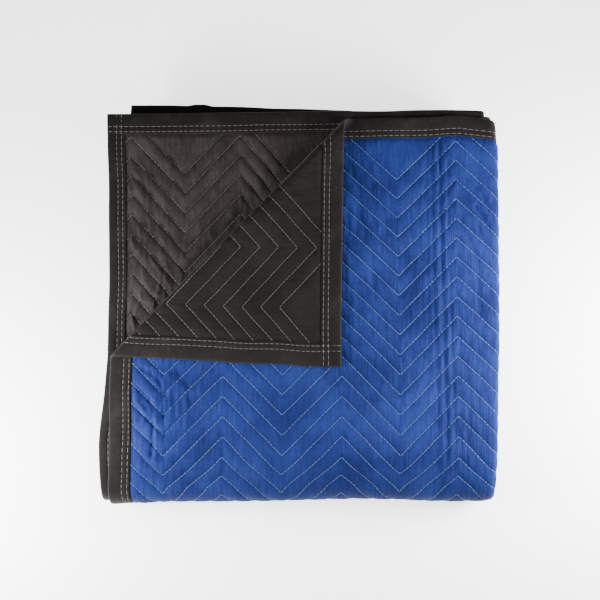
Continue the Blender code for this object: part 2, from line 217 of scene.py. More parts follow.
def width_path():
    """The section of the four strips: forward along the stack, and up from the floor."""
    droop_fall = DROOP_RADIUS * (1 - math.cos(DROOP_ANGLE)) + DROOP_RUN * math.sin(DROOP_ANGLE)
    nose_radius = (3 * STRIP_PITCH - droop_fall) / (1 + math.cos(DROOP_ANGLE))
    nose_middle = TOP_RUN + DROOP_RUN * math.cos(DROOP_ANGLE)
    nose_middle += (DROOP_RADIUS - nose_radius) * math.sin(DROOP_ANGLE)
    half_turn = math.pi * 0.5 * STRIP_PITCH
    runs = [
        (TOP_RUN, 0),
        (DROOP_RADIUS * DROOP_ANGLE, -DROOP_ANGLE),
        (DROOP_RUN, 0),
        (nose_radius * (math.pi - DROOP_ANGLE), DROOP_ANGLE - math.pi),
        (nose_middle - BACK_FOLD, 0),
        (half_turn, -math.pi),
    ]
    used = sum(length for length, _ in runs) + half_turn
    third_run = (WIDTH - used - BACK_FOLD) / 2
    runs += [(third_run, 0), (half_turn, math.pi), (WIDTH - used - third_run, 0)]
    return path((0.0, 3.5 * STRIP_PITCH), runs)


LENGTH_RUNS, LENGTH = length_path()
WIDTH_RUNS, _ = width_path()
U_FOLDS = [LENGTH_RUNS[i][0] for i in range(1, 7)]
NOSE_START = WIDTH_RUNS[3][0]
NOSE_END = WIDTH_RUNS[4][0]
BACK_TURN = WIDTH_RUNS[5][0]
BACK_TURN_END = WIDTH_RUNS[6][0]
FRONT_TURN = WIDTH_RUNS[7][0]
TAIL_START = WIDTH_RUNS[8][0]
UNDERSIDE = 0.5 * STRIP_PITCH - 1.5 * LAYER_PITCH - PRESSED_HALF
TOP_LEVEL = 3.5 * STRIP_PITCH + 1.5 * LAYER_PITCH
FLAP_LENGTH = float(np.linalg.norm(FLAP_LINE_END - FLAP_LINE_START))
FLAP_ALONG = (FLAP_LINE_END - FLAP_LINE_START) / FLAP_LENGTH
FLAP_ACROSS = np.array((-FLAP_ALONG[1], FLAP_ALONG[0]))


def smooth(x):
    """Rises softly from nothing at 0 to one at 1."""
    x = np.clip(x, 0.0, 1.0)
    return x * x * (3 - 2 * x)


def noise(x, y, seed):
    """Smooth noise of about -1 to 1 with one wave to the unit."""
    table = np.random.default_rng(seed).uniform(-1, 1, (64, 64))
    column, row = np.floor(x).astype(int), np.floor(y).astype(int)
    s, t = smooth(x - column), smooth(y - row)
    low = table[column % 64, row % 64] * (1 - s) + table[(column + 1) % 64, row % 64] * s
    row += 1
    high = table[column % 64, row % 64] * (1 - s) + table[(column + 1) % 64, row % 64] * s
    return low * (1 - t) + high * t


def table_shift(table, place):
    """Reads a table of (place, shift) rows in millimetres, in metres."""
    places, shifts = zip(*table)
    return np.interp(place / MM, places, shifts) * MM


def strayed(u, v):
    """Blanket coordinates with the edges' wander added."""
    first = np.clip(1 - u / SIDE_FADE, 0, None)
    last = np.clip(1 - (LENGTH - u) / SIDE_FADE, 0, None)
    back = np.clip(1 - v / BACK_FADE, 0, None)
    tail = np.clip(1 - (WIDTH - v) / (WIDTH - TAIL_START), 0, None)
    ripple = 0.9 * MM * noise(v / 0.045, u / 0.4, 3)
    ripple_back = 0.9 * MM * noise(u / 0.05, v / 0.4, 4)
    du = (table_shift(LAST_EDGE_SHIFT, v) + ripple) * last
    du -= (table_shift(FIRST_EDGE_SHIFT, v) + ripple) * first
    dv = (table_shift(TAIL_EDGE_SHIFT, u) + ripple_back) * tail
    dv -= (table_shift(BACK_EDGE_SHIFT, u) + ripple_back) * back
    return u + du, v + dv


def turned_back(x, p, z, on_top):
    """Turns the part of the top layer that lies beyond the flap's fold line."""
    place = np.stack([x, p], 1) - FLAP_LINE_START
    along = place @ FLAP_ALONG
    share = np.clip(along / FLAP_LENGTH, 0, 1)
    radius = FLAP_LOOSE_RADIUS + (FLAP_TIGHT_RADIUS - FLAP_LOOSE_RADIUS) * smooth(share * 1.15)
    settle = np.arcsin((2 * radius - FLAP_REST_HEIGHT) / FLAP_SETTLE_RUN)
    begin = -(radius + TOP_CREST)
    beyond = place @ FLAP_ACROSS - begin
    turn = math.pi + settle
    arc = np.clip(beyond, 0, radius * turn)
    angle = arc / radius
    ramp = np.clip(beyond - radius * turn, 0, FLAP_SETTLE_RUN)
    level_off = np.clip(beyond - radius * turn - FLAP_SETTLE_RUN, 0, 4 * radius * settle)
    rest = np.clip(beyond - radius * turn - FLAP_SETTLE_RUN - 4 * radius * settle, 0, None)
    last_angle = angle - level_off / (4 * radius)
    across = radius * np.sin(angle) + ramp * np.cos(turn) - level_off - rest
    up = radius * (1 - np.cos(angle)) + ramp * np.sin(turn) + level_off * np.sin(turn) / 2
    height = z - TOP_LEVEL
    across -= height * np.sin(last_angle)
    up += height * np.cos(last_angle)
    spot = FLAP_LINE_START + np.outer(along, FLAP_ALONG) + np.outer(begin + across, FLAP_ACROSS)
    turned = on_top & (beyond > 0)
    x = np.where(turned, spot[:, 0], x)
    p = np.where(turned, spot[:, 1], p)
    return x, p, np.where(turned, TOP_LEVEL + up, z)


def folded(u, v, w):
    """Takes points of the flat blanket to their places in the folded stack."""
    flat_u, flat_w = u, w
    on_top = (u < U_FOLDS[0]) & (v < TOP_RUN)
    u, v = strayed(u, v)
    x, q = follow(LENGTH_RUNS, u, w)
    share = np.clip((v - TAIL_START) / (WIDTH - TAIL_START), 0, None)
    x = x + share * (TAIL_SHIFT - TAIL_DRAW * x)
    p, z = follow(WIDTH_RUNS, v, q)
    x, p, z = turned_back(x, p, z, on_top)
    p = p + np.clip(p - TOP_RUN, 0, None) * table_shift(FRONT_SHIFT, x) / FRONT_DEPTH
    x = x + np.clip((x - BULGE_START) / BULGE_RUN, 0, 1) * table_shift(RIGHT_BULGE, p)
    plain_x, _ = follow(LENGTH_RUNS, flat_u, flat_w)
    z = (z - UNDERSIDE) * (1 - SLOPE_DROP * np.clip((plain_x - SLOPE_START) / SLOPE_RUN, 0, 1))
    x = x * (1 + TAPER * (TAPER_MIDDLE - p) / TAPER_MIDDLE)
    return np.stack([x + STACK_OFFSET[0], STACK_OFFSET[1] - p, np.maximum(z, 0)], 1)


def zigzag_corners():
    """The turns of a quilting line: places along the length, and heights from its middle."""
    turns = [(place * MM, shift * MM) for place, shift in FIRST_CORNERS]
    turns += [(turns[-1][0] + HALF_REPEAT * (i + 1), 0.0) for i in range(REGULAR_CORNERS)]
    turns += [(place * MM, shift * MM) for place, shift in LAST_CORNERS]
    places = np.array([place for place, _ in turns])
    shifts = np.array([shift for _, shift in turns])
    signs = np.where(np.arange(len(turns)) % 2, 1.0, -1.0)
    return places, shifts + ZIGZAG_REACH * signs


CORNERS, CORNER_HEIGHTS = zigzag_corners()


def zigzag(u):
    """How far a quilting line lies towards +v from its middle."""
    return np.interp(u, CORNERS, CORNER_HEIGHTS)


def drawn(v):
    """Where a place of the even pattern lies once the front's rows are drawn together."""
    pull = smooth((v - DRAW_START) / DRAW_RUN)
    release = smooth((v - DRAW_START - DRAW_RUN) / (DRAW_END - DRAW_START - DRAW_RUN))
    return v - DRAW_REACH * (pull - release)


EVEN_PLACES = np.linspace(-0.1, WIDTH + 0.1, 4000)


def row_distance(u, v):
    """The distance to the nearest quilting line, in row pitches and at most a half."""
    even = np.interp(v, drawn(EVEN_PLACES), EVEN_PLACES)
    place = (even - ROW_START - zigzag(u)) / ROW_PITCH
    return np.minimum(np.abs(place - np.clip(np.round(place), 0, ROW_COUNT - 1)), 0.5)


# Creases on the top layer, in millimetres: points along the crease as (u, v), its half
# width, and its height, which is negative for a trough.
CREASES = (
    (((412, 36), (412, 200), (416, 450)), 1.3, -1.0),
    (((416, 30), (417, 260), (422, 455)), 1.3, 1.2),
    (((421, 34), (423, 190), (427, 440)), 1.3, -1.2),
    (((426, 40), (428, 240), (432, 448)), 1.3, 1.2),
    (((431, 60), (434, 300), (438, 420)), 1.3, -0.9),
    (((405, 120), (404, 260)), 1.4, -0.8),
    (((398, 60), (399, 180)), 1.4, 0.7),
    (((432, 66), (452, 72), (470, 86), (480, 104)), 1.6, 1.2),
    (((434, 76), (452, 84), (468, 98), (477, 116)), 1.5, -1.1),
    (((440, 90), (456, 98), (470, 114), (478, 132)), 1.6, 1.1),
    (((446, 106), (460, 116), (472, 132), (479, 150)), 1.6, -1.0),
    (((450, 124), (464, 136), (474, 156)), 1.6, 1.0),
    (((456, 48), (470, 58), (480, 72)), 1.6, 0.9),
    (((450, 150), (466, 190), (468, 260)), 3.0, -0.9),
    (((446, 300), (456, 360), (452, 420)), 4.0, -0.8),
    (((56, 356), (58, 430)), 22.0, 2.6),
    (((56, 390), (55, 436)), 2.3, -1.5),
    (((61, 372), (59, 440)), 2.3, 1.3),
    (((68, 360), (70, 412)), 2.3, -1.4),
    (((76, 352), (79, 400)), 2.3, 1.2),
    (((88, 366), (92, 410)), 2.3, -1.1),
    (((96, 356), (99, 396)), 2.3, 1.0),
    (((52, 434), (86, 437)), 2.4, -1.7),
    (((50, 440), (80, 443)), 2.4, 1.3),
    (((40, 330), (62, 344), (74, 366)), 2.6, -2.0),
    (((48, 326), (72, 336), (90, 352)), 2.6, 1.8),
    (((34, 352), (50, 366), (60, 388)), 2.6, -1.9),
    (((36, 372), (48, 390)), 2.6, 1.7),
    (((84, 334), (98, 352), (100, 372)), 2.6, -1.8),
    (((300, 40), (322, 90), (326, 160)), 3.0, -0.9),
    (((318, 120), (336, 170), (338, 240)), 3.0, -0.9),
    (((330, 40), (344, 80), (346, 150)), 3.0, 0.9),
    (((302, 180), (312, 240), (308, 310)), 3.5, 0.8),
    (((120, 400), (200, 408), (290, 402)), 7.0, 0.5),
    (((180, 440), (300, 446), (400, 440)), 8.0, -0.5),
)

# Where the cloth is crumpled: (u, v, radius) in millimetres, and how strongly.
CRUMPLED = (
    (70, 385, 46, 2.4), (456, 110, 46, 1.4), (330, 110, 60, 1.0), (380, 240, 60, 0.8),
    (360, 350, 70, 0.9), (120, 380, 50, 1.0), (440, 400, 40, 0.6),
    (1895, 90, 60, 2.4), (1890, 180, 60, 2.6), (1895, 250, 50, 2.6), (1820, 60, 60, 2.2),
    (1800, 150, 60, 1.5), (150, 60, 50, 0.7), (60, 200, 50, 0.7),
)


def crease_relief(u, v):
    """The sum of the top layer's creases."""
    height = np.zeros_like(u)
    for points, half_width, crest in CREASES:
        nearest = np.full_like(u, 1.0)
        spine = np.array(points) * MM
        for start, end in zip(spine, spine[1:]):
            run = end - start
            share = np.clip(((u - start[0]) * run[0] + (v - start[1]) * run[1]) / (run @ run), 0, 1)
            gap = np.hypot(u - start[0] - share * run[0], v - start[1] - share * run[1])
            nearest = np.minimum(nearest, gap)
        wobble = 1 + 0.35 * noise(u / 0.011 + half_width, v / 0.017, 11)
        height += crest * MM * wobble * np.exp(-((nearest / (half_width * MM)) ** 2))
    return height


def crumple(u, v):
    """Fine sharp wrinkles, mostly across the rows, in the crumpled places."""
    amount = np.zeros_like(u)
    for place_u, place_v, radius, strength in CRUMPLED:
        gap = np.hypot(u - place_u * MM, v - place_v * MM) / (radius * MM)
        amount = np.maximum(amount, strength * np.exp(-gap**2))
    bend = 1.2 * noise(u / 0.03, v / 0.03, 26)
    ridges = 1 - np.abs(noise(u / 0.0095 + bend, v / 0.035 + bend, 27))
    slanted = 1 - np.abs(noise((u + 0.6 * v) / 0.012, (v - 0.6 * u) / 0.04, 28))
    return (1.5 * ridges**3 + 1.1 * slanted**3 - 0.9) * MM * amount


def puckers(u, v, distance):
    """Short gathers that run across between two quilting lines."""
    strength = 0.6 + 0.5 * noise(u / 0.07, v / 0.06, 21)
    slant = 0.8 * noise(u / 0.05, v / 0.05, 22)
    fine = noise(u / 0.0062 + slant, v / 0.021, 23)
    broad = noise(u / 0.013, v / 0.034, 24)
    between = np.sin(math.pi * distance) ** 0.6
    return (0.42 * fine + 0.42 * broad) * MM * np.clip(strength, 0.2, 1.2) * between


def crest_height(u, v):
    """How far the quilting swells: most on top, least where layers press on each other."""
    crest = np.full_like(u, HIDDEN_CREST)
    seen_side = (v > BACK_TURN - 0.02) & (v < BACK_TURN_END + 0.02)
    for begin, end in ((U_FOLDS[0], U_FOLDS[1]), (U_FOLDS[2], U_FOLDS[3])):
        seen_side |= (u > begin - 0.02) & (u < end + 0.004)
    crest[seen_side] = FOLD_CREST
    top = (u < U_FOLDS[0]) & (v < NOSE_END)
    crest[top] = TOP_CREST
    beneath = (u < U_FOLDS[1]) & (v >= NOSE_END) & (v < BACK_TURN)
    crest[beneath] = FOLD_CREST
    across = (LENGTH - u + LEFT_EDGE - FLAP_LINE_START[0]) * FLAP_ACROSS[0]
    beyond = across + (v - FLAP_LINE_START[1]) * FLAP_ACROSS[1]
    return crest + BARED_RISE * (u > U_FOLDS[5]) * smooth(beyond / (12 * MM))


def cloth_half(u, v):
    """The height of a quilted surface above the blanket's middle."""
    distance = row_distance(u, v)
    swell = 1 - (1 - 2 * distance) ** 2.4
    crest = crest_height(u, v) + 0.3 * MM * noise(u / 0.04, v / 0.03, 31)
    groove = GROOVE_HALF + SHALLOW * (u < U_FOLDS[5]) * (crest - GROOVE_HALF)
    half = groove + (crest - groove) * swell + puckers(u, v, distance)
    half += 0.6 * crumple(u, v) * (0.3 + 0.7 * swell)
    on_top = smooth((U_FOLDS[1] - u) / 0.01) * smooth((NOSE_END - v) / 0.03)
    half += crease_relief(u, v) * on_top * (0.35 + 0.65 * swell)
    inset = np.minimum(np.minimum(u, LENGTH - u + TAPE_SLACK), np.minimum(v, WIDTH - v))
    inset = inset - TAPE_WIDTH
    half = EDGE_HALF + (half - EDGE_HALF) * smooth((inset + 0.5 * MM) / (7 * MM))
    pressed = (u < U_FOLDS[1]) & (v > NOSE_END - 0.012) & (v < BACK_TURN)
    return np.where(pressed, np.minimum(half, PRESSED_HALF), np.maximum(half, 0.6 * MM))


def make_object(name, points, faces, flats, extra=None):
    """A smooth-shaded mesh object that keeps its flat coordinates for its material."""
    mesh = bpy.data.meshes.new(name)
    mesh.from_pydata(points.tolist(), [], faces)
    flat = mesh.attributes.new("flat", "FLOAT_VECTOR", "POINT")
    flat.data.foreach_set("vector", flats.astype(np.float32).ravel())
    if extra is not None:
        layer = mesh.attributes.new("swell", "FLOAT", "POINT")
        layer.data.foreach_set("value", extra.astype(np.float32))
    mesh.validate()
    mesh.shade_smooth()
    made = bpy.data.objects.new(name, mesh)
    bpy.context.scene.collection.objects.link(made)
    return made


def base_columns():
    """The base grid's columns: corners, folds and edges, with no gap over the base length."""
    tight = [TAPE_WIDTH + 0.3 * MM, TAPE_WIDTH + 5 * MM]
    marks = [EDGE_INSET, LENGTH - EDGE_INSET] + tight
    marks += [LENGTH + TAPE_SLACK - mark for mark in tight]
    marks += U_FOLDS + [c for c in CORNERS if EDGE_INSET < c < LENGTH - EDGE_INSET]
    marks = sorted(marks)
    columns = marks[:1]
    for mark in marks[1:]:
        if mark - columns[-1] < 1.2 * MM:
            continue
        pieces = max(1, math.ceil((mark - columns[-1]) / BASE_LENGTH - 1e-6))
        start = columns[-1]
        columns += [start + (mark - start) * (i + 1) / pieces for i in range(pieces)]
    return columns


def flap_distance(u, v):
    """How far a place on the top layer lies beyond the flap's fold line."""
    place = np.array((u + LEFT_EDGE, v)) - FLAP_LINE_START
    return float(place @ FLAP_ACROSS)


def near_any(value, spans, margin):
    """Whether a value lies in one of these spans, or this near to it."""
    return any(begin - margin < value < end + margin for begin, end in spans)


U_TURNS = [(U_FOLDS[i], U_FOLDS[i + 1]) for i in (0, 2, 4)]
V_TURNS = [(BACK_TURN, BACK_TURN_END), (FRONT_TURN, TAIL_START), (TOP_RUN, NOSE_END)]


def face_grain(u, v):
    """How finely a base cell of the blue face is cut, along and across."""
    top = u < U_FOLDS[1] and v < NOSE_END + 0.01
    beyond = flap_distance(u, v)
    if top and (beyond > 0.03 or -0.2 < beyond < -0.03 and u < 0.28 and v < 0.29):
        return 3, 6
    if top:
        return (6 if v > NOSE_START else FINEST), FINEST
    if near_any(u, U_TURNS[:1], 0):
        return 6, 6
    if near_any(u, U_TURNS, 0):
        return 6, 3
    if u < U_FOLDS[1] and v < BACK_TURN_END + 0.03:
        return 3, 6
    if near_any(v, V_TURNS, 0.045):
        return 3, 6
    return 1, 1


def back_grain(u, v):
    """How finely a base cell of the black back is cut, along and across."""
    beyond = flap_distance(u, v) if u < U_FOLDS[0] else flap_distance(LENGTH - u, v)
    if (u < U_FOLDS[0] or u > U_FOLDS[5]) and beyond > -0.045 and v < 0.36:
        return FINEST, FINEST
    if near_any(u, U_TURNS, 0):
        return 6, 3
    if near_any(v, V_TURNS, 0.045):
        return 3, 6
    return 1, 1


def grid_faces(columns, rows, grain):
    """Faces of a grid whose cells are cut to unlike grains, with shared edges kept whole."""
    cells = []
    keys = set()
    for i in range(len(columns) - 1):
        for j in range(len(rows) - 1):
            middle_u = (columns[i] + columns[i + 1]) / 2
            middle_v = float(drawn((rows[j] + rows[j + 1]) / 2 + zigzag(middle_u)))
            if not -0.03 < middle_v < WIDTH + 0.03:
                continue
            along, across = grain(middle_u, middle_v)
            step_a, step_b = FINEST // along, FINEST // across
            low_a, low_b = i * FINEST, j * FINEST
            cells.append((low_a, low_b, step_a, step_b))
            for a in range(low_a, low_a + FINEST + 1, step_a):
                for b in range(low_b, low_b + FINEST + 1, step_b):
                    keys.add((a, b))
    faces = []
    for low_a, low_b, step_a, step_b in cells:
        for a in range(low_a, low_a + FINEST, step_a):
            for b in range(low_b, low_b + FINEST, step_b):
                corners = ((a, b), (a + step_a, b), (a + step_a, b + step_b), (a, b + step_b))
                faces.append(ring(corners, keys))
    return faces


def ring(corners, keys):
    """A face's outline, with each finer neighbour's points put in."""
    outline = []
    for (a, b), (next_a, next_b) in zip(corners, corners[1:] + corners[:1]):
        step_a = (next_a > a) - (next_a < a)
        step_b = (next_b > b) - (next_b < b)
        outline.append((a, b))
        for i in range(1, max(abs(next_a - a), abs(next_b - b))):
            key = (a + i * step_a, b + i * step_b)
            if key in keys:
                outline.append(key)
    return outline


def cloth(name, side, grain):
    """One of the two cloths: a thin sheet through all the folds, with its quilting."""
    columns = base_columns()
    row_count = math.ceil((WIDTH + 2 * ZIGZAG_REACH) / ROW_PITCH) + 3
    rows = [ROW_START + (j - 4) * ROW_PITCH for j in range(row_count + 1)]
    outlines = grid_faces(columns, rows, grain)
    numbers = {}
    for outline in outlines:
        for key in outline:
            numbers.setdefault(key, len(numbers))
    keys = np.array(list(numbers))
    columns, rows = np.array(columns + columns[-1:]), np.array(rows + rows[-1:])
    i, j = keys // FINEST, keys % FINEST
    u = columns[i[:, 0]] + (columns[i[:, 0] + 1] - columns[i[:, 0]]) * j[:, 0] / FINEST
    v = drawn(rows[i[:, 1]] + ROW_PITCH * np.array(ROW_PHASES)[j[:, 1]] + zigzag(u))
    outside = np.where(v < EDGE_INSET, -1, np.where(v > WIDTH - EDGE_INSET, 1, 0))
    v = np.clip(v, EDGE_INSET, WIDTH - EDGE_INSET)
    faces = []
    for outline in outlines:
        face = [numbers[key] for key in outline]
        if abs(sum(outside[n] for n in face)) < len(face):
            faces.append(face[::-1] if side > 0 else face)
    half = cloth_half(u, v)
    swell = np.clip((half - GROOVE_HALF) / (TOP_CREST - GROOVE_HALF), 0, 1)
    points = folded(u, v, side * half)
    made = make_object(name, points, faces, np.stack([u, v, side * half], 1), swell)
    tidy_mesh(made)
    return made


def tidy_mesh(piece):
    """Merges points that the edges' clipping has brought together, and drops loose ones."""
    bm = bmesh.new()
    bm.from_mesh(piece.data)
    bmesh.ops.delete(bm, geom=[vert for vert in bm.verts if not vert.link_faces], context="VERTS")
    bmesh.ops.remove_doubles(bm, verts=bm.verts, dist=0.02 * MM)
    bm.to_mesh(piece.data)
    bm.free()


def tape_layout(along_length, far_side):
    """A tape's width on each side, and its rows of stitching."""
    if far_side and not along_length:
        return LAST_TAPE_WIDTH, LAST_TAPE_ROWS
    return TAPE_WIDTH, TAPE_STITCH_ROWS


def tape_section(reach, rows):
    """A tape's section as (distance from the edge, height): outside over, then inside back."""
    upper = []
    for inset in np.linspace(reach, 2.2 * MM, 20):
        dip = sum(math.exp(-(((inset - row) / (1.3 * MM)) ** 2)) for row in rows)
        hem = 0.25 * MM * math.exp(-(((reach - inset) / (1.2 * MM)) ** 2))
        puff = 0.35 * MM * math.sin(math.pi * min(1.0, inset / rows[0]))
        upper.append((inset, TAPE_OUTER_HALF + puff - 0.45 * MM * dip - hem))
    rim = []
    for i in range(1, 6):
        angle = math.pi * (0.5 - i / 6)
        rim.append((2.2 * MM * (1 - math.cos(angle)), TAPE_OUTER_HALF * math.sin(angle)))
    outside = upper + rim + [(inset, -w) for inset, w in reversed(upper)]
    inner_half = TAPE_OUTER_HALF - TAPE_THICKNESS
    levels = (reach, 0.5 * reach, 2 * TAPE_THICKNESS)
    inside = [(inset, -inner_half) for inset in levels]
    inside += [(inset, inner_half) for inset in reversed(levels)]
    return np.array(outside + inside)


def tape_stations(start, end, turns, seen):
    """Places along a tape, close together where it turns or is seen."""
    stations = [start]
    while stations[-1] < end - 1e-6:
        here = stations[-1]
        step = 2.2 * MM if near_any(here, seen, 0.004) else 12 * MM
        if near_any(here, turns, 0.006):
            step = 1.2 * MM
        ahead = [t - here for turn in turns for t in turn if here + 1e-6 < t < here + step]
        stations.append(min([here + step, end] + [here + gap for gap in ahead]))
    return np.array(stations)


def tape(name, along_length, far_side, start, end, seen):
    """A binding tape, folded over one edge and taken through the folds."""
    turns = U_TURNS if along_length else V_TURNS
    section = tape_section(*tape_layout(along_length, far_side))
    places = tape_stations(start, end, turns, seen)
    inset = np.tile(section[:, 0], len(places))
    w = np.tile(section[:, 1], len(places))
    place = np.repeat(places, len(section))
    u, v = tape_spot(place, inset, along_length, far_side)
    outside = np.tile(np.arange(len(section)) < len(section) - 6, len(places))
    seed = FIRST_TAPE_SEED + 2 * along_length + far_side
    shape = outside * np.sign(w) * tape_relief(place, inset, seed)
    lap = corner_lap(place, along_length)
    w = w + shape * (np.abs(w) > 1 * MM) + np.sign(w) * lap * outside
    pressed = (u < U_FOLDS[1]) & (v > NOSE_END - 0.012) & (v < BACK_TURN) & (w > 0)
    w = np.where(pressed, np.minimum(w, PRESSED_HALF), w)
    points = folded(u, v, w)
    count, faces = len(section), []
    for i in range(len(places) - 1):
        for j in range(count):
            a, b = i * count + j, i * count + (j + 1) % count
            faces.append([a, b, b + count, a + count])
    faces.append(list(range(count))[::-1])
    faces.append([(len(places) - 1) * count + j for j in range(count)])
    flats = np.stack([place, inset, w], 1)
    made = make_object(name, points, faces, flats)
    bm = bmesh.new()
    bm.from_mesh(made.data)
    bmesh.ops.recalc_face_normals(bm, faces=bm.faces)
    bm.to_mesh(made.data)
    bm.free()
    return made


def tape_spot(place, inset, along_length, far_side):
    """Blanket coordinates of a point on a tape."""
    if along_length:
        return place, (WIDTH - inset if far_side else inset)
    return (LENGTH - inset if far_side else inset), place


FIRST_TAPE_SEED = 40


def tape_relief(place, inset, seed):
    """The tape's own gathers, strongest between its edge and the stitching."""
    gathers = noise(place / 0.009 + inset / 0.03, inset / 0.02, seed)
    broad = noise(place / 0.028, inset / 0.03, seed + 10)
    held = 0.35 + 0.65 * np.sin(math.pi * np.clip(inset / TAPE_STITCH_ROWS[0], 0, 1))
    pulled = np.sin(math.tau * (place + 0.7 * inset) / (8 * MM)) * (seed == FIRST_TAPE_SEED)
    pulled = pulled * np.exp(-(((place - 345 * MM) / (26 * MM)) ** 2))
    return (0.36 * gathers + 0.30 * broad + 0.5 * pulled) * held * MM


def corner_lap(place, along_length):
    """Lifts the long edges' tapes over the others at the corners."""
    if not along_length:
        return np.zeros_like(place)
    near = np.minimum(place, LENGTH - place)
    return 0.7 * MM * smooth((TAPE_WIDTH + 3 * MM - near) / (4 * MM))


def tape_height(place, inset, along_length, far_side):
    """The height of a tape's surface at a stitching row."""
    seed = FIRST_TAPE_SEED + 2 * along_length + far_side
    surface = TAPE_OUTER_HALF - 0.1 * MM + tape_relief(place, inset, seed)
    return surface + corner_lap(place, along_length)


def stitches(name, starts, ends, heights, sides, radius):
    """Threads between pairs of flat points, each a short capsule that dips at its ends."""
    around = 5
    profile = ((0.0, -0.35, 0.55), (0.22, 0.25, 1.0), (0.78, 0.25, 1.0), (1.0, -0.35, 0.55))
    run = ends - starts
    run_unit = run / np.linalg.norm(run, axis=1)[:, None]
    across = np.stack([-run_unit[:, 1], run_unit[:, 0]], 1)
    rings = []
    for share, lift, thickness in profile:
        for k in range(around):
            angle = 2 * math.pi * k / around
            spot = starts + run * share + across * (radius * thickness * math.cos(angle))
            high = heights + (lift + thickness * math.sin(angle) * 0.8) * radius
            rings.append(np.concatenate([spot, (high * sides)[:, None]], 1))
    flats = np.stack(rings, 1)
    count = len(starts)
    per = len(profile) * around
    points = folded(*flats.reshape(-1, 3).T)
    pattern = []
    for i in range(len(profile) - 1):
        for k in range(around):
            a, b = i * around + k, i * around + (k + 1) % around
            pattern.append((a, b, b + around, a + around))
    faces = []
    for n in range(count):
        shift = n * per
        flip = sides[n] > 0
        for quad in pattern:
            faces.append([shift + c for c in (quad[::-1] if flip else quad)])
        first = [shift + k for k in range(around)]
        last = [shift + per - around + k for k in range(around)]
        faces += [first if flip else first[::-1], last[::-1] if flip else last]
    shares = np.tile(np.repeat(np.arange(len(profile)), around), count) / 3
    flats = flats.reshape(-1, 3)
    return make_object(name, points, faces, np.stack([flats[:, 0], flats[:, 1], shares], 1))


def quilting_stitches(name, side, shown, pitch):
    """The quilting thread along every row, wherever shown(u, v) holds."""
    starts, ends = [], []
    rng = np.random.default_rng(50 + side)
    for row in range(ROW_COUNT):
        middle = ROW_START + row * ROW_PITCH
        for i in range(len(CORNERS) - 1):
            first = np.array((CORNERS[i], middle + CORNER_HEIGHTS[i]))
            last = np.array((CORNERS[i + 1], middle + CORNER_HEIGHTS[i + 1]))
            count = round(float(np.linalg.norm(last - first)) / pitch)
            edges = np.linspace(0, 1, count + 1)
            edges[1:-1] += rng.uniform(-0.1, 0.1, count - 1) / count
            for begin, end in zip(edges, edges[1:]):
                gap = 0.07 * (end - begin)
                start = first + (last - first) * (begin + gap)
                stop = first + (last - first) * (end - gap)
                if shown(*((start + stop) / 2)):
                    starts.append(start)
                    ends.append(stop)
    starts, ends = np.array(starts), np.array(ends)
    starts[:, 1] = drawn(starts[:, 1])
    ends[:, 1] = drawn(ends[:, 1])
    middle = (starts + ends) / 2
    wander = 0.45 * MM * noise(middle[:, 0] / 0.017, middle[:, 1] / 0.02, 61)
    starts[:, 1] += wander
    ends[:, 1] += wander
    height = cloth_half(middle[:, 0], middle[:, 1]) + 0.1 * MM
    return stitches(name, starts, ends, height, np.full(len(starts), float(side)), 0.24 * MM)


def free_of_tape(u, v):
    """Whether a place lies inside the bindings."""
    limit = TAPE_WIDTH + 0.5 * MM
    return limit < u < LENGTH + TAPE_SLACK - limit and limit < v < WIDTH - limit


def shown_on_face(u, v):
    """Where the blue face's stitching can be seen."""
    if not free_of_tape(u, v) or u < U_FOLDS[0] and flap_distance(u, v) > 0.03:
        return False
    if u < U_FOLDS[1] and v < BACK_TURN_END:
        return True
    return near_any(u, U_TURNS[:1], 0) or near_any(v, [(BACK_TURN, BACK_TURN_END)], 0) and u < 1.0


def shown_on_back(u, v):
    """Where the black back's stitching can be seen."""
    if not free_of_tape(u, v) or v > 0.36:
        return False
    if u < U_FOLDS[0]:
        return flap_distance(u, v) > -0.012
    return u > U_FOLDS[5] and flap_distance(LENGTH - u, v) > -0.045


def tape_stitches(name):
    """The two rows of thread along every tape, on both faces."""
    parts = []
    rng = np.random.default_rng(77)
    edges = (
        (True, False, ((0.0, 0.52), (1.465, LENGTH))),
        (True, True, ((0.0, 0.52), (0.97, 1.01))),
        (False, False, ((0.0, 0.56), (1.37, WIDTH))),
        (False, True, ((0.0, 0.50), (0.93, 1.0))),
    )
    for along_length, far_side, spans in edges:
        for row in tape_layout(along_length, far_side)[1]:
            for begin, end in spans:
                count = round((end - begin) / (7.0 * MM))
                places = np.linspace(begin, end, count + 1)
                places[1:-1] += rng.uniform(-0.6, 0.6, count - 1) * MM
                first = places[:-1] + 0.9 * MM
                last = places[1:] - 0.9 * MM
                drift = 0.5 * MM * noise(first / 0.05, np.full_like(first, row / 0.01), 71)
                for side in (1.0, -1.0):
                    parts.append((along_length, far_side, first, last, row + drift, side))
    starts, ends, heights, sides = [], [], [], []
    for along_length, far_side, first, last, inset, side in parts:
        starts.append(np.stack(tape_spot(first, inset, along_length, far_side), 1))
        ends.append(np.stack(tape_spot(last, inset, along_length, far_side), 1))
        height = tape_height((first + last) / 2, inset, along_length, far_side)
        if not along_length:
            ends_here = np.minimum(first, WIDTH - first) < TAPE_WIDTH
            height = height + 0.75 * MM * ends_here
        heights.append(height)
        sides.append(np.full(len(first), side))
    starts, ends = np.concatenate(starts), np.concatenate(ends)
    return stitches(name, starts, ends, np.concatenate(heights), np.concatenate(sides), 0.28 * MM)


def nodes_of(name):
    """A new material with its Principled shader and a way to add linked nodes."""
    made = bpy.data.materials.new(name)
    made.use_nodes = True
    tree = made.node_tree
    return made, tree, tree.nodes["Principled BSDF"]


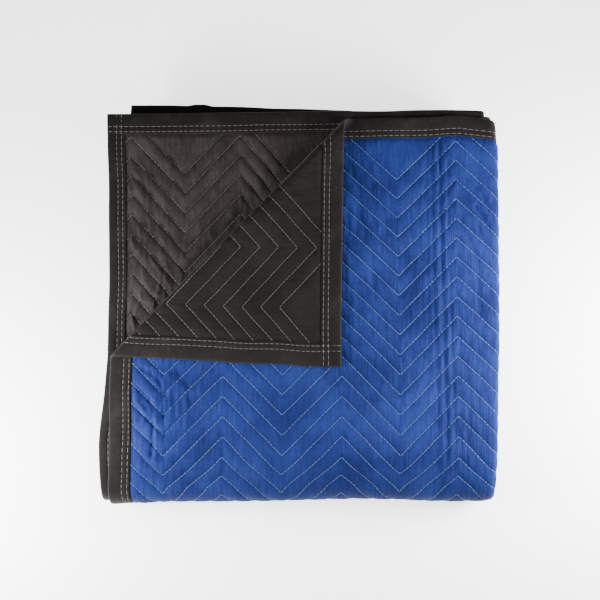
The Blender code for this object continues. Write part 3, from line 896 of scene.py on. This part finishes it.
def add_node(tree, kind, links=(), **values):
    """Adds a node, sets its sockets by name, and links (input, output socket) pairs."""
    node = tree.nodes.new(kind)
    for key, value in values.items():
        if hasattr(node, key):
            setattr(node, key, value)
        else:
            node.inputs[key.replace("_", " ")].default_value = value
    for name, output in links:
        tree.links.new(output, node.inputs[name])
    return node


def math_node(tree, operation, first, second):
    """A maths node on sockets or numbers."""
    node = tree.nodes.new("ShaderNodeMath")
    node.operation = operation
    for i, value in enumerate((first, second)):
        if isinstance(value, (int, float)):
            node.inputs[i].default_value = value
        else:
            tree.links.new(value, node.inputs[i])
    return node.outputs[0]


def scaled(tree, vector, scale):
    """Coordinates stretched by a factor for each axis."""
    node = tree.nodes.new("ShaderNodeMapping")
    node.inputs["Scale"].default_value = scale
    tree.links.new(vector, node.inputs["Vector"])
    return node.outputs[0]


def noise_socket(tree, vector, scale, detail=2.0, rough=0.5):
    """A noise texture's value."""
    node = tree.nodes.new("ShaderNodeTexNoise")
    node.inputs["Scale"].default_value = scale
    node.inputs["Detail"].default_value = detail
    node.inputs["Roughness"].default_value = rough
    tree.links.new(vector, node.inputs["Vector"])
    return node.outputs[0]


def wave_socket(tree, vector, direction, scale):
    """A sine wave along one axis, for one set of yarns."""
    node = tree.nodes.new("ShaderNodeTexWave")
    node.bands_direction = direction
    node.inputs["Scale"].default_value = scale
    node.inputs["Distortion"].default_value = 1.2
    node.inputs["Detail"].default_value = 1.0
    node.inputs["Detail Scale"].default_value = 1.5
    tree.links.new(vector, node.inputs["Vector"])
    return node.outputs[1]


def ramp(tree, factor, stops):
    """A colour ramp through (place, colour) stops."""
    node = tree.nodes.new("ShaderNodeValToRGB")
    elements = node.color_ramp.elements
    elements[0].position, elements[0].color = stops[0]
    elements[1].position, elements[1].color = stops[-1]
    for position, colour in stops[1:-1]:
        elements.new(position).color = colour
    tree.links.new(factor, node.inputs[0])
    return node.outputs[0]


def mixed(tree, factor, first, second, blend="MIX"):
    """Two colours mixed; each is a socket or a colour."""
    node = tree.nodes.new("ShaderNodeMix")
    node.data_type = "RGBA"
    node.blend_type = blend
    for socket, value in ((node.inputs[0], factor), (node.inputs[6], first), (node.inputs[7], second)):
        if hasattr(value, "is_linked"):
            tree.links.new(value, socket)
        else:
            socket.default_value = value
    return node.outputs[2]


def cloth_material(name, dark, middle, pale, sheen_tint, wrinkled, first_layer=1.0):
    """Woven polyester cloth: yarns, slubs and soft fuzz, with painted shade that darkens the quilting's grooves
    and, where first_layer is below one, the first layer.
    """
    made, tree, shader = nodes_of(name)
    flat = add_node(tree, "ShaderNodeAttribute", attribute_name="flat").outputs["Vector"]
    swell = add_node(tree, "ShaderNodeAttribute", attribute_name="swell").outputs["Fac"]
    cloudy = noise_socket(tree, scaled(tree, flat, (1, 1, 1)), 14.0, 4.0, 0.6)
    slubs = noise_socket(tree, scaled(tree, flat, (0.12, 1, 1)), 900.0, 2.0, 0.6)
    streaks = noise_socket(tree, scaled(tree, flat, (1, 0.1, 1)), 500.0, 2.0, 0.5)
    warp = wave_socket(tree, flat, "X", 330.0)
    weft = wave_socket(tree, flat, "Y", 330.0)
    weave = math_node(tree, "ADD", warp, weft)
    tone = math_node(tree, "MULTIPLY_ADD", cloudy, 0.9)
    tone.node.inputs[2].default_value = -0.42
    # painted shade: the colour is darker in the quilting's grooves and lighter on its crests
    groove_shade = math_node(tree, "MULTIPLY", swell, 0.22)
    fibres = math_node(tree, "MULTIPLY", math_node(tree, "ADD", slubs, streaks), 0.42)
    total = math_node(tree, "ADD", math_node(tree, "ADD", tone, groove_shade), fibres)
    base = ramp(tree, total, ((0.15, dark), (0.5, middle), (0.9, pale)))
    yarn_gap = math_node(tree, "MULTIPLY", weave, 0.12)
    base = mixed(tree, yarn_gap, base, tuple(0.35 * c for c in dark[:3]) + (1.0,))
    # painted shade: the first layer, whose black side is the turned-back flap, is darkened towards black and
    # keeps first_layer of its colour
    along = add_node(tree, "ShaderNodeSeparateXYZ", links=[("Vector", flat)]).outputs[0]
    first = math_node(tree, "LESS_THAN", along, U_FOLDS[0])
    first_layer_shade = math_node(tree, "MULTIPLY", first, 1.0 - first_layer)
    base = mixed(tree, first_layer_shade, base, (0, 0, 0, 1))
    tree.links.new(base, shader.inputs["Base Color"])
    rough = math_node(tree, "MULTIPLY_ADD", slubs, 0.25)
    rough.node.inputs[2].default_value = 0.66
    tree.links.new(rough, shader.inputs["Roughness"])
    shader.inputs["Sheen Weight"].default_value = 0.04
    shader.inputs["Sheen Roughness"].default_value = 0.45
    shader.inputs["Sheen Tint"].default_value = sheen_tint
    shader.inputs["Specular IOR Level"].default_value = 0.09
    gathers = noise_socket(tree, scaled(tree, flat, (1, 0.35, 1)), 170.0, 3.0, 0.6)
    height = math_node(tree, "MULTIPLY", weave, 0.3)
    height = math_node(tree, "ADD", height, math_node(tree, "MULTIPLY", slubs, 0.7))
    height = math_node(tree, "ADD", height, math_node(tree, "MULTIPLY", gathers, 1.8))
    lines = noise_socket(tree, scaled(tree, flat, (1, 0.09, 1)), 230.0, 2.0, 0.55)
    where = noise_socket(tree, flat, 16.0, 1.0, 0.5)
    lines = math_node(tree, "MULTIPLY", lines, math_node(tree, "MULTIPLY", where, wrinkled))
    height = math_node(tree, "ADD", height, lines)
    bump = add_node(tree, "ShaderNodeBump", Strength=0.55, Distance=0.0006)
    tree.links.new(height, bump.inputs["Height"])
    tree.links.new(bump.outputs[0], shader.inputs["Normal"])
    return made


def tape_material(name):
    """Ribbed black tape, a little rubbed and dusty along its edge."""
    made, tree, shader = nodes_of(name)
    flat = add_node(tree, "ShaderNodeAttribute", attribute_name="flat").outputs["Vector"]
    inset = add_node(tree, "ShaderNodeSeparateXYZ", links=[("Vector", flat)]).outputs[1]
    ribs = wave_socket(tree, flat, "X", 360.0)
    slubs = noise_socket(tree, scaled(tree, flat, (1, 0.15, 1)), 800.0, 2.0, 0.6)
    cloudy = noise_socket(tree, flat, 22.0, 3.0, 0.6)
    tone = math_node(tree, "ADD", cloudy, math_node(tree, "MULTIPLY", slubs, 0.5))
    stops = (
        (0.35, (0.0026, 0.0021, 0.0020, 1)),
        (0.75, (0.0056, 0.0047, 0.0044, 1)),
        (1.0, (0.0130, 0.0112, 0.0106, 1)),
    )
    base = ramp(tree, tone, stops)
    edge = math_node(tree, "LESS_THAN", inset, 1.2 * MM)
    base = mixed(tree, math_node(tree, "MULTIPLY", edge, 0.25), base, (0.020, 0.017, 0.016, 1))
    tree.links.new(base, shader.inputs["Base Color"])
    rough = math_node(tree, "MULTIPLY_ADD", cloudy, 0.25)
    rough.node.inputs[2].default_value = 0.6
    tree.links.new(rough, shader.inputs["Roughness"])
    shader.inputs["Sheen Weight"].default_value = 0.04
    shader.inputs["Sheen Roughness"].default_value = 0.5
    shader.inputs["Sheen Tint"].default_value = (0.9, 0.86, 0.84, 1)
    shader.inputs["Specular IOR Level"].default_value = 0.09
    height = math_node(tree, "ADD", math_node(tree, "MULTIPLY", ribs, 0.5), slubs)
    bump = add_node(tree, "ShaderNodeBump", Strength=0.5, Distance=0.0004)
    tree.links.new(height, bump.inputs["Height"])
    tree.links.new(bump.outputs[0], shader.inputs["Normal"])
    return made


def thread_material(name, dark, pale):
    """Twisted sewing thread."""
    made, tree, shader = nodes_of(name)
    flat = add_node(tree, "ShaderNodeAttribute", attribute_name="flat").outputs["Vector"]
    fade = noise_socket(tree, flat, 60.0, 3.0, 0.6)
    twist = noise_socket(tree, scaled(tree, flat, (1, 1, 0.01)), 1400.0, 1.0, 0.5)
    tone = math_node(tree, "ADD", math_node(tree, "MULTIPLY", fade, 0.7), math_node(tree, "MULTIPLY", twist, 0.3))
    base = ramp(tree, tone, ((0.3, dark), (0.7, pale)))
    tree.links.new(base, shader.inputs["Base Color"])
    rough = math_node(tree, "MULTIPLY_ADD", twist, 0.3)
    rough.node.inputs[2].default_value = 0.4
    tree.links.new(rough, shader.inputs["Roughness"])
    bump = add_node(tree, "ShaderNodeBump", Strength=0.5, Distance=0.0002)
    tree.links.new(twist, bump.inputs["Height"])
    tree.links.new(bump.outputs[0], shader.inputs["Normal"])
    return made


def dress(piece, material, nodes=()):
    """Gives a piece its material and its body, and hides the solids that it stands for."""
    piece.data.materials.clear()
    piece.data.materials.append(material)
    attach(piece, "root")
    if nodes:
        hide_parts(*nodes)


def make_blanket():
    """The cloths, tapes and threads."""
    blue = cloth_material(
        "blue_cloth",
        (0.0018, 0.0044, 0.034, 1),
        (0.0041, 0.0096, 0.072, 1),
        (0.0125, 0.0275, 0.150, 1),
        (0.65, 0.78, 1.0, 1),
        9.0,
    )
    black = cloth_material(
        "black_cloth",
        (0.0066, 0.0051, 0.0048, 1),
        (0.0150, 0.0122, 0.0115, 1),
        (0.0370, 0.0315, 0.0300, 1),
        (0.9, 0.86, 0.84, 1),
        5.0,
        # the black flap keeps 0.3 of its colour: painted shade
        0.3,
    )
    tape_black = tape_material("black_tape")
    face = cloth("blue_face", 1, face_grain)
    dress(face, blue, ["face_cloth"])
    back = cloth("black_back", -1, back_grain)
    dress(back, black, ["back_cloth"])
    tapes = (
        ("tape_first_end", False, False, 1.5 * MM, WIDTH - 1.5 * MM, ((0, 0.54), (1.39, WIDTH))),
        ("tape_last_end", False, True, 1.5 * MM, WIDTH - 1.5 * MM, ((0, 0.52), (0.93, 1.0))),
        ("tape_back_edge", True, False, 0.0, LENGTH, ((0, 0.51), (1.475, LENGTH))),
        ("tape_tail_edge", True, True, 0.0, LENGTH, ((0, 0.51), (0.96, 1.02))),
    )
    solids = ("binding_first_end", "binding_last_end", "binding_back_edge", "binding_tail_edge")
    for (name, along_length, far_side, start, end, seen), solid in zip(tapes, solids):
        piece = tape(name, along_length, far_side, start, end, seen)
        dress(piece, tape_black, [solid])
    face_thread = thread_material("pale_thread", (0.04, 0.095, 0.24, 1), (0.13, 0.235, 0.48, 1))
    back_thread = thread_material("grey_thread", (0.05, 0.045, 0.042, 1), (0.17, 0.157, 0.147, 1))
    face_quilting = quilting_stitches("face_quilting", 1, shown_on_face, 5.2 * MM)
    dress(face_quilting, face_thread)
    back_quilting = quilting_stitches("back_quilting", -1, shown_on_back, 5.2 * MM)
    dress(back_quilting, back_thread)
    tape_quilting = tape_stitches("tape_stitching")
    dress(tape_quilting, back_thread)


def make_stage():
    """The pale floor."""
    bpy.ops.mesh.primitive_plane_add(size=8.0, location=(0, 0, -0.2 * MM))
    floor = bpy.context.object
    floor.name = "floor"
    made, tree, shader = nodes_of("pale_floor")
    place = add_node(tree, "ShaderNodeTexCoord").outputs["Object"]
    grain = noise_socket(tree, place, 30.0, 4.0, 0.6)
    base = ramp(tree, grain, ((0.3, (0.86, 0.86, 0.86, 1)), (0.7, (0.88, 0.88, 0.88, 1))))
    tree.links.new(base, shader.inputs["Base Color"])
    shader.inputs["Roughness"].default_value = 0.9
    shader.inputs["Emission Color"].default_value = (1, 1, 1, 1)
    shader.inputs["Emission Strength"].default_value = 2.1
    floor.data.materials.append(made)


def area_light(name, place, aim, size, power):
    """A soft square light."""
    data = bpy.data.lights.new(name, "AREA")
    data.shape = "SQUARE"
    data.size = size
    data.energy = power
    light = bpy.data.objects.new(name, data)
    light.visible_camera = False
    bpy.context.scene.collection.objects.link(light)
    light.location = place
    light.rotation_euler = (Vector(aim) - Vector(place)).to_track_quat("-Z", "Y").to_euler()


def make_light():
    """Two soft boxes at the sides and a pale sky."""
    area_light("left_box", (-0.57, -0.25, 0.29), (0, 0, 0.08), 0.26, 16)
    area_light("right_box", (0.60, -0.08, 0.29), (0, -0.02, 0.08), 0.30, 18)
    world = bpy.data.worlds.new("studio")
    world.use_nodes = True
    world.node_tree.nodes["Background"].inputs[0].default_value = (1, 1, 1, 1)
    world.node_tree.nodes["Background"].inputs[1].default_value = 0.5
    bpy.context.scene.world = world


def make_camera():
    """The camera, above the stack and a little towards the viewer."""
    top = (TOP_LEVEL - UNDERSIDE) + TAPE_OUTER_HALF
    aim = Vector((STACK_OFFSET[0], STACK_OFFSET[1] - AIM_DEPTH, top))
    reach = Vector((0, -math.sin(CAMERA_TILT), math.cos(CAMERA_TILT))) * CAMERA_DISTANCE
    data = bpy.data.cameras.new("camera")
    data.lens = CAMERA_LENS
    data.sensor_width = SENSOR_WIDTH
    camera = bpy.data.objects.new("camera", data)
    bpy.context.scene.collection.objects.link(camera)
    camera.location = aim + reach
    camera.rotation_euler = (CAMERA_TILT, 0, 0)
    bpy.context.scene.camera = camera


make_blanket()
make_stage()
make_light()
make_camera()
